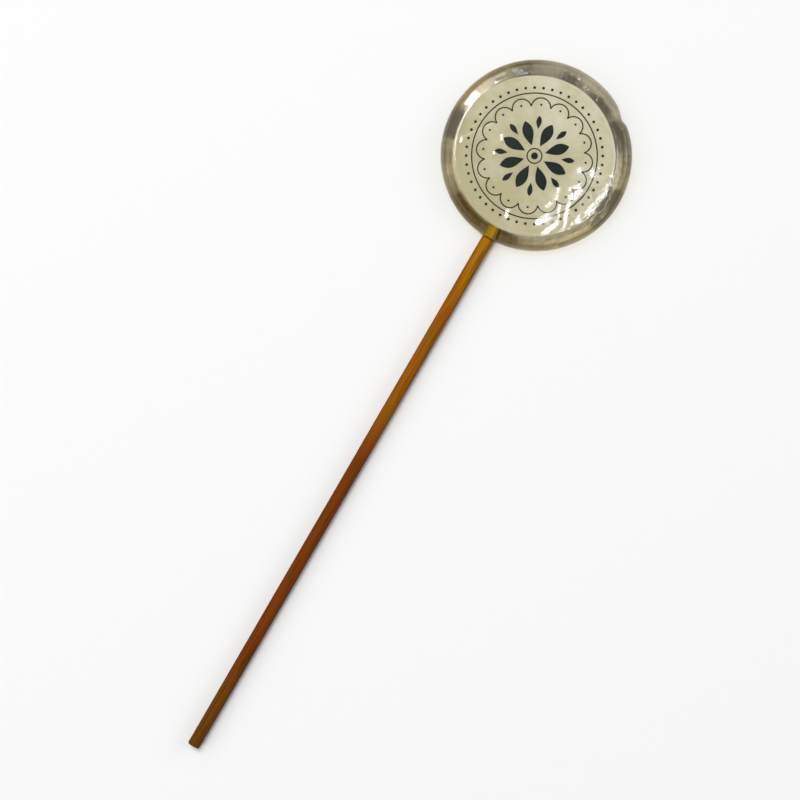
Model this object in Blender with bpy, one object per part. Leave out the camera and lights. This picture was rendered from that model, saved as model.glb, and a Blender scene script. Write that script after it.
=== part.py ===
"""A round lollipop of clear boiled sugar on a wooden stick, with a printed wafer-paper disc in its head.

Units are metres and +Z is up. The lollipop lies on its flat back with the shown side up.
The origin is the middle of the head's flat back, and the stick runs along -Y.
"""

import math
from typing import NamedTuple

import bmesh
import bpy
from mathutils import Matrix, Vector

MM = 0.001
SMOOTH_ANGLE = math.radians(40.0)
MERGE_DISTANCE = 0.001 * MM

# Driving sizes of the head. From the crest the front slopes gently out to the shoulder, and then turns down.
HEAD_RADIUS = 30.0 * MM
HEAD_THICKNESS = 7.0 * MM
WIDEST_HEIGHT = 2.9 * MM
BACK_FLAT_RADIUS = 28.2 * MM
SHOULDER_RADIUS = 27.8 * MM
SHOULDER_SLOPE = math.tan(math.radians(9.8))
SLOPE_START = 0.6 * MM
CREST_RADIUS = 25.4 * MM
FACE_RADIUS = 24.3 * MM
FACE_SINK = 0.22 * MM
AROUND = 96

# The stick, and how deep it goes into the head
STICK_RADIUS = 2.0 * MM
STICK_LENGTH = 200.0 * MM
STICK_GRIP = 16.4 * MM
STICK_HEIGHT = 3.0 * MM
STICK_SIDES = 28
STICK_END_BEVEL = 0.45 * MM
BEVEL_STEPS = 3
ROUND_PROFILE = 0.5

# The wafer paper, which lies on the stick a little off the head's middle
PAPER_RADIUS = 25.1 * MM
PAPER_THICKNESS = 0.5 * MM
PAPER_MIDDLE = Vector((-0.43 * MM, -0.65 * MM, 0.0))
GAP = 0.3 * MM
PAPER_BOTTOM = STICK_HEIGHT + STICK_RADIUS + GAP

# The dent in the rim: its bearing from +X, how deep it is, how far it runs each way, and the flat it sits in
DENT_BEARING = math.radians(52.5)
DENT_DEPTH = 0.72 * MM
DENT_STEEP = math.radians(3.1)
DENT_GENTLE = math.radians(5.3)
FLAT_DEPTH = 0.25 * MM
FLAT_REACH = math.radians(13.0)

# Low folds pressed into the face: a fan of them at one side, and a crease that crosses the other side
FAN_FOLDS = 4
FAN_BEARING = math.radians(-42.0)
FAN_STEP = math.radians(12.5)
FAN_SLANT = math.radians(12.0)
FAN_SLANT_STEP = math.radians(-6.0)
FAN_REACH = 18.0 * MM
FOLD_LENGTH = 6.5 * MM
FOLD_WIDTH = 0.9 * MM
FOLD_DEPTH = 0.24 * MM
CREASE_BEARING = math.radians(175.0)
CREASE_REACH = 20.8 * MM
CREASE_SLANT = math.radians(59.0)
CREASE_DEPTH = 0.12 * MM

# The broad, shallow swell of the poured face
SWELL_DEPTH = 0.06 * MM
SWELL_LENGTH = 13.0 * MM


class Fold(NamedTuple):
    """A low valley in the face: the bearing and the reach of its middle, and its slant from that bearing."""

    bearing: float
    reach: float
    slant: float
    depth: float

    def depth_at(self, x, y):
        """How far the valley lowers the face at a point."""
        turn = self.bearing + self.slant
        away_x = x - self.reach * math.cos(self.bearing)
        away_y = y - self.reach * math.sin(self.bearing)
        along = away_x * math.cos(turn) + away_y * math.sin(turn)
        across = away_y * math.cos(turn) - away_x * math.sin(turn)
        return self.depth * math.exp(-((along / FOLD_LENGTH) ** 2) - (across / FOLD_WIDTH) ** 2)


def clear_scene():
    """Removes every object that the file opened with."""
    for old in list(bpy.data.objects):
        bpy.data.objects.remove(old, do_unlink=True)


def make_material(name, colour, roughness, clear=0.0):
    """A Principled material of one plain colour."""
    made = bpy.data.materials.new(name)
    made.use_nodes = True
    shader = made.node_tree.nodes["Principled BSDF"]
    shader.inputs["Base Color"].default_value = (*colour, 1.0)
    shader.inputs["Roughness"].default_value = roughness
    shader.inputs["Metallic"].default_value = 0.0
    shader.inputs["Transmission Weight"].default_value = clear
    return made


def make_object(name, mesh, material=None):
    """Links a new object with this mesh, shaded smooth but for its sharp edges."""
    made = bpy.data.objects.new(name, mesh)
    bpy.context.scene.collection.objects.link(made)
    mesh.shade_smooth()
    mesh.set_sharp_from_angle(angle=SMOOTH_ANGLE)
    if material is not None:
        mesh.materials.append(material)
    return made


def make_cutter(name, mesh):
    """A body that only cuts others, so it isn't rendered or built."""
    made = make_object(name, mesh)
    made.hide_render = True
    made.display_type = "WIRE"
    return made


def ease(share):
    """0 to 1 with a smooth start and end."""
    share = min(max(share, 0.0), 1.0)
    return share * share * (3.0 - 2.0 * share)


def front_height(out):
    """Height of the front outside the crest: a gentle slope to the shoulder, and an ellipse from there."""
    past_crest = out - CREST_RADIUS
    bent = min(past_crest, SLOPE_START)
    fall = SHOULDER_SLOPE * (bent * bent / (2.0 * SLOPE_START) + past_crest - bent)
    turned = max(out - SHOULDER_RADIUS, 0.0) / (HEAD_RADIUS - SHOULDER_RADIUS)
    height = HEAD_THICKNESS - fall - WIDEST_HEIGHT
    return WIDEST_HEIGHT + height * math.sqrt(max(1.0 - turned * turned, 0.0))


def head_profile():
    """The head's half section from the middle of its back, round the rim, to the middle of its face."""
    back_steps, side_steps, shoulder_steps, sink_steps, face_steps = 4, 8, 4, 3, 9
    points = [(0.0, 0.0)]
    for i in range(back_steps + 1):
        turn = math.pi / 2.0 * i / back_steps
        out = BACK_FLAT_RADIUS + (HEAD_RADIUS - BACK_FLAT_RADIUS) * math.sin(turn)
        points.append((out, WIDEST_HEIGHT * (1.0 - math.cos(turn))))
    for i in range(1, side_steps + 1):
        turn = math.pi / 2.0 * i / side_steps
        out = SHOULDER_RADIUS + (HEAD_RADIUS - SHOULDER_RADIUS) * math.cos(turn)
        points.append((out, front_height(out)))
    for i in range(1, shoulder_steps + 1):
        out = SHOULDER_RADIUS + (CREST_RADIUS - SHOULDER_RADIUS) * i / shoulder_steps
        points.append((out, front_height(out)))
    for i in range(1, sink_steps + 1):
        share = i / sink_steps
        out = CREST_RADIUS + (FACE_RADIUS - CREST_RADIUS) * share
        points.append((out, HEAD_THICKNESS - FACE_SINK * ease(share)))
    for i in range(1, face_steps + 1):
        out = FACE_RADIUS * (1.0 - i / face_steps)
        points.append((out, HEAD_THICKNESS - FACE_SINK))
    return points


def rim_dent(bearing):
    """How far the outline is pushed in at this bearing: a dent with one steep side, in a shallow flat."""
    off = (bearing - DENT_BEARING + math.pi) % (2.0 * math.pi) - math.pi
    reach = DENT_GENTLE if off > 0.0 else DENT_STEEP
    return DENT_DEPTH * math.exp(-((off / reach) ** 2)) + FLAT_DEPTH * math.exp(-((off / FLAT_REACH) ** 2))


def face_folds():
    """The fan's folds, each turned a little more than the last, and the crease."""
    fan = [
        Fold(FAN_BEARING + FAN_STEP * i, FAN_REACH, FAN_SLANT + FAN_SLANT_STEP * i, FOLD_DEPTH)
        for i in range(FAN_FOLDS)
    ]
    return fan + [Fold(CREASE_BEARING, CREASE_REACH, CREASE_SLANT, CREASE_DEPTH)]


def face_relief(x, y, folds):
    """How far the swell and the folds lower the face at a point."""
    swell = 0.5 + 0.5 * math.sin(math.pi * x / SWELL_LENGTH) * math.cos(math.pi * y / SWELL_LENGTH)
    return SWELL_DEPTH * swell + sum(fold.depth_at(x, y) for fold in folds)


def head_mesh():
    """The head's outer body: the section spun round the axis, then folded on the face and dented."""
    shape = bmesh.new()
    points = [shape.verts.new((out, 0.0, up)) for out, up in head_profile()]
    edges = [shape.edges.new(pair) for pair in zip(points, points[1:])]
    bmesh.ops.spin(
        shape,
        geom=points + edges,
        cent=(0.0, 0.0, 0.0),
        axis=(0.0, 0.0, 1.0),
        angle=2.0 * math.pi,
        steps=AROUND,
        use_merge=True,
        use_normal_flip=False,
    )
    bmesh.ops.remove_doubles(shape, verts=shape.verts, dist=MERGE_DISTANCE)
    folds = face_folds()
    for vert in shape.verts:
        out = math.hypot(vert.co.x, vert.co.y)
        if vert.co.z > WIDEST_HEIGHT:
            fade = 1.0 - ease((out - FACE_RADIUS) / (CREST_RADIUS - FACE_RADIUS))
            vert.co.z -= face_relief(vert.co.x, vert.co.y, folds) * fade
        if out > FACE_RADIUS:
            pushed = rim_dent(math.atan2(vert.co.y, vert.co.x))
            share = ease((out - FACE_RADIUS) / (HEAD_RADIUS - FACE_RADIUS))
            squeeze = 1.0 - pushed * share / out
            vert.co.x *= squeeze
            vert.co.y *= squeeze
    bmesh.ops.recalc_face_normals(shape, faces=shape.faces)
    mesh = bpy.data.meshes.new("candy")
    shape.to_mesh(mesh)
    shape.free()
    return mesh


def disc_mesh(name, radius, thickness, sides):
    """A flat disc that stands on z = 0."""
    shape = bmesh.new()
    bmesh.ops.create_cone(
        shape,
        cap_ends=True,
        segments=sides,
        radius1=radius,
        radius2=radius,
        depth=thickness,
        matrix=Matrix.Translation((0.0, 0.0, thickness / 2.0)),
    )
    mesh = bpy.data.meshes.new(name)
    shape.to_mesh(mesh)
    shape.free()
    return mesh


def rod_mesh(name, radius, length, sides, end_bevel=0.0):
    """A round rod that starts at the origin and runs along -Y, with its far edge rounded."""
    shape = bmesh.new()
    turn = Matrix.Translation((0.0, -length / 2.0, 0.0)) @ Matrix.Rotation(math.radians(90.0), 4, "X")
    bmesh.ops.create_cone(
        shape,
        cap_ends=True,
        segments=sides,
        radius1=radius,
        radius2=radius,
        depth=length,
        matrix=turn,
    )
    if end_bevel > 0.0:
        far = [e for e in shape.edges if all(v.co.y < -length / 2.0 for v in e.verts)]
        bmesh.ops.bevel(
            shape,
            geom=far,
            offset=end_bevel,
            segments=BEVEL_STEPS,
            profile=ROUND_PROFILE,
            affect="EDGES",
        )
    bmesh.ops.recalc_face_normals(shape, faces=shape.faces)
    mesh = bpy.data.meshes.new(name)
    shape.to_mesh(mesh)
    shape.free()
    return mesh


def add_paper():
    """The wafer paper with the print on it, sealed in the sugar above the stick."""
    wafer = make_material("printed_wafer_paper", (0.58, 0.53, 0.35), 0.6)
    paper = make_object("wafer_paper", disc_mesh("wafer_paper", PAPER_RADIUS, PAPER_THICKNESS, AROUND), wafer)
    paper.location = PAPER_MIDDLE + Vector((0.0, 0.0, PAPER_BOTTOM))
    return paper


def add_stick(grip_end):
    """The wooden stick, hung from an empty at its end inside the head."""
    wood = make_material("stained_wood", (0.24, 0.085, 0.006), 0.5)
    mesh = rod_mesh("stick", STICK_RADIUS, STICK_LENGTH, STICK_SIDES, STICK_END_BEVEL)
    stick = make_object("stick", mesh, wood)
    stick.parent = grip_end
    return stick


def add_candy(grip_end):
    """The clear head, with a pocket for the paper and a hole that the stick goes in by."""
    sugar = make_material("clear_sugar", (0.72, 0.66, 0.5), 0.06, clear=0.9)
    candy = make_object("candy", head_mesh(), sugar)
    pocket = make_cutter(
        "paper_pocket",
        disc_mesh("paper_pocket", PAPER_RADIUS + GAP, PAPER_THICKNESS + 2.0 * GAP, AROUND),
    )
    pocket.location = PAPER_MIDDLE + Vector((0.0, 0.0, PAPER_BOTTOM - GAP))
    hole_length = 2.0 * STICK_GRIP
    hole = make_cutter("stick_hole", rod_mesh("stick_hole", STICK_RADIUS + GAP, hole_length, STICK_SIDES))
    hole.parent = grip_end
    hole.location = (0.0, GAP, 0.0)
    for cutter in (pocket, hole):
        cut = candy.modifiers.new(cutter.name, "BOOLEAN")
        cut.operation = "DIFFERENCE"
        cut.solver = "EXACT"
        cut.object = cutter
    return candy


def main():
    clear_scene()
    grip_end = bpy.data.objects.new("stick_grip_end", None)
    bpy.context.scene.collection.objects.link(grip_end)
    grip_end.location = (0.0, STICK_GRIP - HEAD_RADIUS, STICK_HEIGHT)
    add_candy(grip_end)
    add_paper()
    add_stick(grip_end)


main()
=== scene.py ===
"""Dresses the lollipop: a clear boiled-sugar head, its printed wafer paper and a stained stick.

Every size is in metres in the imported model's frame: +Z out of the shown face, the stick along -Y.
"""

import math
from typing import NamedTuple

import bpy
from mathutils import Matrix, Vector, noise


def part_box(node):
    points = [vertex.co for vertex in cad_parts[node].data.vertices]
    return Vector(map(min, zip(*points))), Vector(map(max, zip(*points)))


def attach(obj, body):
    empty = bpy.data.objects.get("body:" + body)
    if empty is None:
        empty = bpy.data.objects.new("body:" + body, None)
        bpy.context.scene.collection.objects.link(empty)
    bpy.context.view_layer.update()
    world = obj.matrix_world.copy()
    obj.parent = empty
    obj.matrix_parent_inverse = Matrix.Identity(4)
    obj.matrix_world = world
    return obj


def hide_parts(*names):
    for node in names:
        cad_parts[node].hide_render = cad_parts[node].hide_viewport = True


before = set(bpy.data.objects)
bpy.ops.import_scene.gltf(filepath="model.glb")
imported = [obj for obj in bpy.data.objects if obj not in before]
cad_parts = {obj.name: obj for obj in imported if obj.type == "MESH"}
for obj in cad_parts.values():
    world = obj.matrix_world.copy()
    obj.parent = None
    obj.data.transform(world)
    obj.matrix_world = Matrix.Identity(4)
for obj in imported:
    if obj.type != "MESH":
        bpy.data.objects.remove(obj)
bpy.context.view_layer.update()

bl_info = {
    "name": "Lollipop dresser",
    "version": (1, 0, 0),
    "blender": (4, 5, 0),
    "location": "View3D > Sidebar > Lollipop",
    "description": "Models a clear round lollipop with a printed paper, round the packed solids",
    "category": "Object",
}

MM = 0.001
CANDY_LOW, CANDY_HIGH = (Vector(corner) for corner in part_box("candy"))
PAPER_LOW, PAPER_HIGH = (Vector(corner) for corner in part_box("wafer_paper"))
STICK_LOW, STICK_HIGH = (Vector(corner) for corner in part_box("stick"))
PAPER_MIDDLE = (PAPER_LOW + PAPER_HIGH) / 2.0
STICK_MIDDLE = (STICK_LOW + STICK_HIGH) / 2.0


# Sizes and colours that a user may change


def setting(kind, name, description, default, **more):
    """A property that a user may change."""
    return kind(name=name, description=description, default=default, **more)


def metres(name, description, default):
    """A length."""
    return setting(bpy.props.FloatProperty, name, description, default, unit="LENGTH", precision=5)


def degrees(name, description, default):
    """An angle, given in degrees and kept in radians."""
    turn = math.radians(default)
    return setting(bpy.props.FloatProperty, name, description, turn, subtype="ANGLE")


def repeats(name, description, default):
    """How many times something is repeated in a circle."""
    return setting(bpy.props.IntProperty, name, description, default, min=3)


def tint(name, description, default):
    """A linear colour."""
    limits = {"size": 3, "min": 0.0, "max": 1.0, "subtype": "COLOR"}
    return setting(bpy.props.FloatVectorProperty, name, description, default, **limits)


class CandySettings(bpy.types.PropertyGroup):
    """Sizes and colours of the sugar head."""

    radius: metres("Radius", "Outer radius of the head", CANDY_HIGH.x)
    thickness: metres("Thickness", "Height of the rim's crest over the back", CANDY_HIGH.z)
    widest_height: metres("Widest height", "Height at which the head is widest", 2.9 * MM)
    back_flat: metres("Back flat", "Radius of the flat of the back", 28.2 * MM)
    shoulder: metres("Shoulder", "Radius at which the front turns down", 27.8 * MM)
    shoulder_slope: degrees("Shoulder slope", "Slope of the front out to the shoulder", 9.8)
    slope_start: metres("Slope start", "How far the crest takes to bend into it", 0.3 * MM)
    crest: metres("Crest", "Radius of the rim's crest", 25.4 * MM)
    face: metres("Face", "Radius at which the rim's slope meets the face", 24.3 * MM)
    sink: metres("Sink", "How far the face lies below the crest", 0.22 * MM)
    hollow: metres("Hollow", "How much deeper the face is where it is folded", 0.06 * MM)
    swell: metres("Swell", "Depth of the broad swell of the face", 0.06 * MM)
    dent_bearing: degrees("Dent bearing", "Bearing of the dent in the rim from +X", 52.5)
    dent_depth: metres("Dent depth", "How far the dent goes in", 0.74 * MM)
    dent_steep: degrees("Steep side", "How far the dent runs on its steep side", 3.1)
    dent_gentle: degrees("Gentle side", "How far the dent runs on its gentle side", 5.3)
    flat_depth: metres("Flat depth", "Depth of the shallow flat round the dent", 0.25 * MM)
    flat_reach: degrees("Flat reach", "How far the shallow flat runs each way", 13.0)
    collar: metres("Collar", "How far the sugar creeps out along the stick", 0.3 * MM)
    collar_reach: degrees("Collar reach", "How far the collar runs each way", 5.5)
    unevenness: metres("Unevenness", "How uneven the rim is", 0.12 * MM)
    crinkle: metres("Crinkle", "Depth of the fine crinkles in the rim", 0.16 * MM)
    crumple: metres("Crumple", "Depth of the small creases between the folds", 0.015 * MM)
    # Colour of the clouded sugar over the folds, which is a painted sheen as well
    sheen_veil: tint("Veil", "Cloudy sugar over the folds", (0.86, 0.85, 0.78))
    # Colour of the thin clouded layer over the paper's edge, which is a painted sheen as well
    film_and_sheen: tint("Film", "Cloudy sugar over the paper's edge", (0.80, 0.71, 0.47))
    clear_tint: tint("Clear tint", "Sugar over the paper", (0.957, 0.945, 0.90))
    pale_tint: tint("Pale tint", "Paler sugar of the ring", (0.512, 0.459, 0.304))
    grey_tint: tint("Grey tint", "Greyer pale sugar of the ring", (0.53, 0.495, 0.43))
    # Colour of the ring's dark patches: darker sugar with painted shade
    smoke_and_shade_tint: tint("Smoky tint", "Greyer dark sugar of the ring", (0.146, 0.138, 0.099))
    brown_tint: tint("Brown tint", "Browner dark sugar of the ring", (0.133, 0.081, 0.006))
    # Olive at the outer edge, darkened there as painted shade of the refracting rim
    edge_tint: tint("Edge tint", "Sugar at the outer edge", (0.177, 0.157, 0.068))
    wall_tint: tint("Wall tint", "Clearer sugar of the side wall", (0.84, 0.78, 0.62))
    # Amber over the stick as it shows through the sugar, with a painted glow beside it
    amber_and_glow_tint: tint("Amber tint", "Sugar that the stick has stained", (0.43, 0.262, 0.005))


class PaperSettings(bpy.types.PropertyGroup):
    """Sizes and colours of the wafer paper and its print."""

    radius: metres("Radius", "Radius of the paper", (PAPER_HIGH.x - PAPER_LOW.x) / 2.0)
    thickness: metres("Thickness", "Thickness of the paper", 0.4 * MM)
    wave: metres("Wave", "Height of the paper's waves", 0.12 * MM)
    cream: tint("Cream", "Wetted paper", (0.43, 0.405, 0.26))
    pale: tint("Pale", "Paler, drier paper", (0.565, 0.56, 0.455))
    ink: tint("Ink", "The print", (0.002, 0.007, 0.004))


class PrintSettings(bpy.types.PropertyGroup):
    """Sizes of the printed rosette and its borders."""

    petals: repeats("Petals", "Petals in each round of the rosette", 8)
    petal_start: metres("Petal start", "Where the long petals start", 3.3 * MM)
    petal_reach: metres("Petal reach", "Reach of the long petals", 11.2 * MM)
    petal_width: metres("Petal width", "Width of a long petal", 3.4 * MM)
    drop_start: metres("Drop start", "Where the drops between the petals start", 8.4 * MM)
    drop_reach: metres("Drop reach", "Reach of the small drops", 12.6 * MM)
    drop_width: metres("Drop width", "Width of a small drop", 1.7 * MM)
    eye: metres("Eye", "Radius of the dot in the middle", 1.1 * MM)
    line: metres("Line", "Width of the thin lines", 0.4 * MM)
    scallops: repeats("Scallops", "Arcs round the rosette", 16)
    scallop_reach: metres("Scallop reach", "Where the arcs' ends meet", 15.2 * MM)
    border: metres("Border", "Radius of the thin border line", 19.6 * MM)
    beads: repeats("Beads", "Dots outside the border line", 48)
    bead: metres("Bead", "Radius of a dot", 0.45 * MM)
    bead_reach: metres("Bead reach", "Radius of the circle of dots", 21.3 * MM)


class StickSettings(bpy.types.PropertyGroup):
    """Sizes and colours of the stick."""

    radius: metres("Radius", "Radius of the stick", (STICK_HIGH.x - STICK_LOW.x) / 2.0)
    groove: metres("Groove", "Depth of the grooves between fibres", 0.07 * MM)
    rounding: metres("Rounding", "Rounding of the cut end", 0.45 * MM)
    in_sugar: tint("In sugar", "Wood inside the head", (0.62, 0.46, 0.004))
    amber: tint("Amber", "Wood just outside the head", (0.46, 0.157, 0.001))
    honey: tint("Honey", "Wood a quarter of the way down", (0.325, 0.086, 0.001))
    russet: tint("Russet", "Wood halfway down", (0.195, 0.034, 0.001))
    umber: tint("Umber", "Wood at the far end", (0.165, 0.044, 0.001))
    fibre: tint("Fibre", "Darker fibres", (0.035, 0.018, 0.002))


class StageSettings(bpy.types.PropertyGroup):
    """The camera and the lights."""

    picture_x: metres("Picture X", "Middle of the picture, along X", 1.56 * MM)
    picture_y: metres("Picture Y", "Middle of the picture, along Y", -87.55 * MM)
    picture_width: metres("Picture width", "Picture's width at the head", 250.9 * MM)
    roll: degrees("Roll", "How far the camera is turned about its own axis", 30.16)
    distance: metres("Distance", "From the camera to the head", 1.1)
    floor: tint("Floor", "The floor", (0.93, 0.93, 0.92))


SETTINGS = {
    "lollipop_candy": CandySettings,
    "lollipop_paper": PaperSettings,
    "lollipop_print": PrintSettings,
    "lollipop_stick": StickSettings,
    "lollipop_stage": StageSettings,
}


# Modelling by operators

SMOOTH_ANGLE = math.radians(40.0)
MERGE_GAP = 0.0005 * MM


def ease(share):
    """0 to 1 with a smooth start and end."""
    share = min(max(share, 0.0), 1.0)
    return share * share * (3.0 - 2.0 * share)


def at_bearing(bearing, reach):
    """The point at a bearing and a reach from the head's middle."""
    return Vector((reach * math.cos(bearing), reach * math.sin(bearing), 0.0))


def leave_edit():
    """Goes back to object mode."""
    if bpy.context.mode != "OBJECT":
        bpy.ops.object.mode_set(mode="OBJECT")


def deselect_all():
    """Goes back to object mode with nothing selected."""
    leave_edit()
    bpy.ops.object.select_all(action="DESELECT")


def activate(piece):
    """Goes back to object mode with only this piece selected."""
    deselect_all()
    piece.select_set(True)
    bpy.context.view_layer.objects.active = piece


def edit_all():
    """Goes to edit mode with all of the active piece selected."""
    bpy.ops.object.mode_set(mode="EDIT")
    bpy.ops.mesh.select_all(action="SELECT")


def name_active(name):
    """Names the active piece and its mesh, and gives it."""
    piece = bpy.context.object
    piece.name = name
    piece.data.name = name
    return piece


def start_disc(name, sides, radius, place=(0.0, 0.0, 0.0), rotation=(0.0, 0.0, 0.0)):
    """A filled circle, with its place in its mesh, left in edit mode with its one face selected."""
    deselect_all()
    bpy.ops.mesh.primitive_circle_add(
        vertices=sides, radius=radius, fill_type="NGON", location=place, rotation=rotation
    )
    piece = name_active(name)
    bpy.ops.object.transform_apply(location=True, rotation=True, scale=True)
    bpy.ops.object.mode_set(mode="EDIT")
    bpy.ops.mesh.select_mode(type="VERT")
    bpy.ops.mesh.select_all(action="SELECT")
    return piece


def grow(move, scale, centre):
    """Extrudes the selected face by a move and scales it about a centre."""
    bpy.ops.mesh.extrude_region_move(TRANSFORM_OT_translate={"value": move})
    bpy.ops.transform.resize(value=scale, center_override=centre)


def finish_shape(piece):
    """Merges doubles, turns the faces out and shades them smooth."""
    leave_edit()
    edit_all()
    bpy.ops.mesh.remove_doubles(threshold=MERGE_GAP)
    bpy.ops.mesh.normals_make_consistent(inside=False)
    leave_edit()
    bpy.ops.object.shade_smooth_by_angle(angle=SMOOTH_ANGLE)
    return piece


def apply_modifier(piece, kind, name, **settings):
    """Adds a modifier with these settings and applies it."""
    activate(piece)
    bpy.ops.object.modifier_add(type=kind)
    added = piece.modifiers[-1]
    added.name = name
    for key, value in settings.items():
        setattr(added, key, value)
    bpy.ops.object.modifier_apply(modifier=added.name)


def hand_in(piece, slot, material, *replaced):
    """Gives a finished piece its material, and tells the frame what it is."""
    piece.data.materials.clear()
    piece.data.materials.append(material)
    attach(piece, "root")
    if replaced:
        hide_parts(*replaced)


# Materials


class Value:
    """A number that a shader node puts out. Sums and products of it add Math nodes."""

    def __init__(self, recipe, socket):
        self.recipe = recipe
        self.socket = socket

    def math(self, operation, first, second=0.0):
        """The result of a Math node."""
        return self.recipe.number("ShaderNodeMath", {"operation": operation}, {0: first, 1: second})

    def __add__(self, other):
        return self.math("ADD", self, other)

    def __radd__(self, other):
        return self.math("ADD", other, self)

    def __sub__(self, other):
        return self.math("SUBTRACT", self, other)

    def __rsub__(self, other):
        return self.math("SUBTRACT", other, self)

    def __mul__(self, other):
        return self.math("MULTIPLY", self, other)

    def __rmul__(self, other):
        return self.math("MULTIPLY", other, self)

    def __truediv__(self, other):
        return self.math("DIVIDE", self, other)

    def __abs__(self):
        return self.math("ABSOLUTE", self)

    def __pow__(self, other):
        return self.math("POWER", self, other)


class Grain(NamedTuple):
    """Smooth noise: the size of its lumps, how many finer layers it has and how strong they are."""

    size: float
    detail: float = 3.0
    roughness: float = 0.5


class Recipe:
    """One material's nodes."""

    def __init__(self, name):
        self.material = bpy.data.materials.new(name)
        self.material.use_nodes = True
        self.tree = self.material.node_tree
        self.tree.nodes.clear()
        self.place = self.node("ShaderNodeTexCoord").outputs["Object"]

    def node(self, kind, settings=None, sockets=None):
        """Adds a node: its settings are set first, and then its sockets' values and links."""
        made = self.tree.nodes.new(kind)
        for key, value in (settings or {}).items():
            setattr(made, key, value)
        for key, value in (sockets or {}).items():
            value = value.socket if isinstance(value, Value) else value
            if isinstance(value, bpy.types.NodeSocket):
                self.tree.links.new(value, made.inputs[key])
            elif value is not None:
                made.inputs[key].default_value = value
        return made

    def number(self, kind, settings, sockets):
        """Adds a node and gives its first output as a number."""
        return Value(self, self.node(kind, settings, sockets).outputs[0])

    def step(self, value, low, high):
        """0 below low and 1 above high, with a smooth run between. High may be the lower one."""
        return self.number(
            "ShaderNodeMapRange",
            {"interpolation_type": "SMOOTHSTEP"},
            {"Value": value, "From Min": low, "From Max": high},
        )

    def blend(self, share, first, second, kind="MIX"):
        """A mix of two colours."""
        mixed = self.node(
            "ShaderNodeMix",
            {"data_type": "RGBA", "blend_type": kind},
            {"Factor": share, "A": as_colour(first), "B": as_colour(second)},
        )
        return mixed.outputs["Result"]

    def ramp(self, value, stops):
        """A colour that runs through the stops, each a place from 0 to 1 and a colour."""
        made = self.node("ShaderNodeValToRGB", None, {"Fac": value})
        marks = made.color_ramp.elements
        while len(marks) < len(stops):
            marks.new(0.5)
        for mark, (place, colour) in zip(marks, stops):
            mark.position = place
            mark.color = as_colour(colour)
        return made.outputs["Color"]

    def parts(self):
        """The X, Y and Z of the place on the piece."""
        split = self.node("ShaderNodeSeparateXYZ", None, {0: self.place})
        return [Value(self, split.outputs[axis]) for axis in "XYZ"]

    def stretched(self, scale):
        """The place on the piece, scaled along each axis."""
        sockets = {"Vector": self.place, "Scale": scale}
        return self.node("ShaderNodeMapping", None, sockets).outputs[0]

    def grain(self, grain, vector=None):
        """A grain's noise, from 0 to 1, at the place on the piece or at another vector."""
        return self.number(
            "ShaderNodeTexNoise",
            None,
            {
                "Vector": vector or self.place,
                "Scale": 1.0 / grain.size,
                "Detail": grain.detail,
                "Roughness": grain.roughness,
            },
        )

    def bump(self, height, distance, strength):
        """A normal bent by a height."""
        sockets = {"Height": height, "Distance": distance, "Strength": strength}
        return self.node("ShaderNodeBump", None, sockets).outputs["Normal"]

    def principled(self, sockets):
        """A Principled shader."""
        return self.node("ShaderNodeBsdfPrincipled", None, sockets).outputs[0]

    def mix_shader(self, share, first, second):
        """A mix of two shaders."""
        return self.node("ShaderNodeMixShader", None, {0: share, 1: first, 2: second}).outputs[0]

    def finish(self, surface, volume=None):
        """Links the surface, and the inside if there is one, to the output."""
        self.node("ShaderNodeOutputMaterial", None, {"Surface": surface, "Volume": volume})
        return self.material


def as_colour(value):
    """A colour with its alpha, or the socket itself."""
    if isinstance(value, bpy.types.NodeSocket):
        return value
    return (*value, 1.0)


def length_of(x, y):
    """The length of a flat vector."""
    return (x * x + y * y) ** 0.5


class Place(NamedTuple):
    """The place on the sugar, and how far it is from the head's axis."""

    x: Value
    y: Value
    z: Value
    out: Value


class Patch(NamedTuple):
    """A patch of the ring: its bearing and half width in degrees, how strong it is, and the radius
    that it fades out at."""

    bearing: float
    half_width: float
    strength: float
    fade: float


class Sector(NamedTuple):
    """A part of the ring: its bearing, and how far from that it ends and is full, in degrees."""

    bearing: float
    ends: float
    full: float


# The dark patches of the ring: darker sugar with painted shade, darkest beside the paper where its
# shadow falls
SMOKE_AND_SHADE = (
    Patch(35.0, 15.0, 0.80, 27.9 * MM),
    Patch(56.0, 18.0, 0.55, 26.7 * MM),
    Patch(80.0, 18.0, 0.50, 26.8 * MM),
    Patch(113.0, 19.0, 0.52, 27.8 * MM),
    Patch(137.0, 15.0, 0.38, 30.0 * MM),
    Patch(187.5, 8.5, 1.00, 28.9 * MM),
    Patch(201.0, 11.0, 0.36, 29.8 * MM),
    Patch(218.0, 12.0, 0.16, 29.0 * MM),
    Patch(234.0, 10.0, 0.26, 31.0 * MM),
    Patch(247.0, 10.0, 0.20, 31.0 * MM),
    Patch(293.0, 10.0, 0.12, 30.6 * MM),
    Patch(338.0, 8.0, 0.20, 28.6 * MM),
    Patch(352.0, 11.0, 1.15, 29.8 * MM),
    Patch(8.0, 8.0, 0.34, 29.8 * MM),
)
SMOKE_SHADE_ENDS, SMOKE_SHADE_FULL = 1.5, 0.6  # half widths from the bearing
SMOKE_SHADE_GONE, SMOKE_SHADE_THICK = 0.5 * MM, 0.8 * MM  # outside and inside the radius
SMOKE_SHADE_LEFT = 0.25  # share that is left outside the radius
SMOKE_SHADE_SIDE_DRIFT, SMOKE_SHADE_OUT_DRIFT = 0.04, 4.5 * MM

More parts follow.
